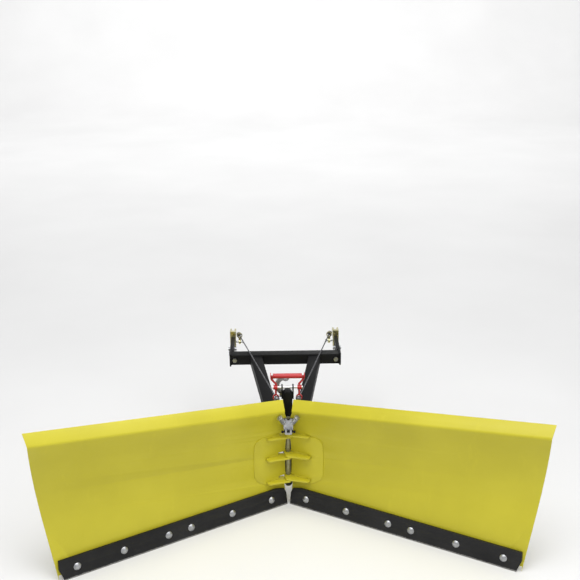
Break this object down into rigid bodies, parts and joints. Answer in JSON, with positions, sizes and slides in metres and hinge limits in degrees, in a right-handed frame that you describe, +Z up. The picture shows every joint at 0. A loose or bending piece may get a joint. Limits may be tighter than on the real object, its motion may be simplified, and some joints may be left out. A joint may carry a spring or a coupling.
{
  "type": "atv plow blade",
  "caption": "Two-wing V-shaped snow plow blade with bolted cutting edges, a vertical hinge rod, angle lock pins, a release handle with cables and a rear push frame.",
  "frame": {"origin": "centre of the outline seen from above, on the ground", "axes": "+X across the blade to its right wing as the picture shows it, -Y the plowing direction, +Z up"},
  "size_m": [1.3074, 0.9792, 0.4348],
  "materials": {
    "yellow_paint": "gloss powder coat",
    "black_paint": "satin powder coat",
    "zinc": "zinc plated",
    "yellow_zinc": "yellow zinc plated",
    "red_paint": "gloss paint",
    "edge_black": "matt black steel",
    "rod_steel": "oiled steel",
    "cast_steel": "blasted steel",
    "bright_zinc": "bright zinc",
    "cable_steel": "coated wire rope"
  },
  "bodies": {
    "push_frame": {"cross_tube": "black_paint", "tube_end_plates": "black_paint", "push_arm_left": "black_paint", "push_arm_right": "black_paint", "head_box": "black_paint", "head_post": "black_paint", "hinge_lugs": "black_paint", "hinge_rod": "rod_steel", "rod_nuts": "black_paint", "hinge_yoke": "zinc", "yoke_pin": "black_paint", "lock_guide_left": "black_paint", "lock_guide_right": "black_paint", "pivot_bracket": "black_paint", "pivot_rod": "bright_zinc", "lift_hook": "cast_steel", "rear_arm_left": "black_paint", "rear_arm_right": "black_paint", "rear_bolts": "zinc", "coupler_left": "yellow_zinc", "coupler_right": "yellow_zinc", "ring_clips": "zinc", "pawl_bolts": "zinc", "lock_spring_left": "zinc", "lock_spring_right": "zinc"},
    "wing_left": {"moldboard_left": "yellow_paint", "doubler_left": "yellow_paint", "hinge_tabs_left": "yellow_paint", "sector_plate_left": "yellow_paint", "ribs_left": "yellow_paint", "rail_left": "yellow_paint", "backing_bar_left": "yellow_paint", "cutting_edge_left": "edge_black", "edge_bolts_left": "zinc", "edge_nuts_left": "zinc", "corner_spring_left": "zinc"},
    "wing_right": {"moldboard_right": "yellow_paint", "doubler_right": "yellow_paint", "hinge_tabs_right": "yellow_paint", "sector_plate_right": "yellow_paint", "ribs_right": "yellow_paint", "rail_right": "yellow_paint", "backing_bar_right": "yellow_paint", "cutting_edge_right": "edge_black", "edge_bolts_right": "zinc", "edge_nuts_right": "zinc", "corner_spring_right": "zinc"},
    "handle": {"release_handle": "red_paint", "handle_grip": "red_paint"},
    "cable_left": {"release_cable_left": "cable_steel"},
    "cable_right": {"release_cable_right": "cable_steel"},
    "pawl_left": {"pawl_left": "yellow_zinc"},
    "pawl_right": {"pawl_right": "yellow_zinc"},
    "lock_left": {"lock_pin_left": "zinc"},
    "lock_right": {"lock_pin_right": "zinc"}
  },
  "joints": [
    {"name": "wing_left_hinge", "type": "hinge", "parent": "push_frame", "child": "wing_left", "pos_m": [0, -0.1014, 0.15], "axis": [0, 0, -1], "range_deg": [0, 60]},
    {"name": "wing_right_hinge", "type": "hinge", "parent": "push_frame", "child": "wing_right", "pos_m": [0, -0.1014, 0.15], "axis": [0, 0, 1], "range_deg": [0, 60]},
    {"name": "handle_pivot", "type": "hinge", "parent": "push_frame", "child": "handle", "pos_m": [0, -0.0544, 0.348], "axis": [-1, 0, 0], "range_deg": [0, 15], "stiffness_Nm_per_rad": 3, "springref_deg": -17.19},
    {"name": "cable_left_slide", "type": "slide", "parent": "push_frame", "child": "cable_left", "axis": [0.2352, -0.9718, 0.0155], "range_m": [0, 0.00848]},
    {"name": "cable_right_slide", "type": "slide", "parent": "push_frame", "child": "cable_right", "axis": [-0.2352, -0.9718, 0.0155], "range_m": [0, 0.00848]},
    {"name": "pawl_left_pivot", "type": "hinge", "parent": "push_frame", "child": "pawl_left", "pos_m": [-0.155, 0.4456, 0.284], "axis": [1, 0, 0], "range_deg": [0, 20.01]},
    {"name": "pawl_right_pivot", "type": "hinge", "parent": "push_frame", "child": "pawl_right", "pos_m": [0.155, 0.4456, 0.284], "axis": [1, 0, 0], "range_deg": [0, 20.01]},
    {"name": "lock_left_slide", "type": "slide", "parent": "push_frame", "child": "lock_left", "axis": [0, 0, -1], "range_m": [0, 0.024], "stiffness_N_per_m": 400, "springref_m": -0.02, "deforming": ["lock_spring_left"]},
    {"name": "lock_right_slide", "type": "slide", "parent": "push_frame", "child": "lock_right", "axis": [0, 0, -1], "range_m": [0, 0.024], "stiffness_N_per_m": 400, "springref_m": -0.02, "deforming": ["lock_spring_right"]}
  ],
  "couplings": [
    {"joint": "cable_left_slide", "follows": "handle_pivot", "m_per_rad": 0.032},
    {"joint": "cable_right_slide", "follows": "handle_pivot", "m_per_rad": 0.032},
    {"joint": "pawl_left_pivot", "follows": "handle_pivot", "ratio": 1.3333},
    {"joint": "pawl_right_pivot", "follows": "handle_pivot", "ratio": 1.3333}
  ]
}
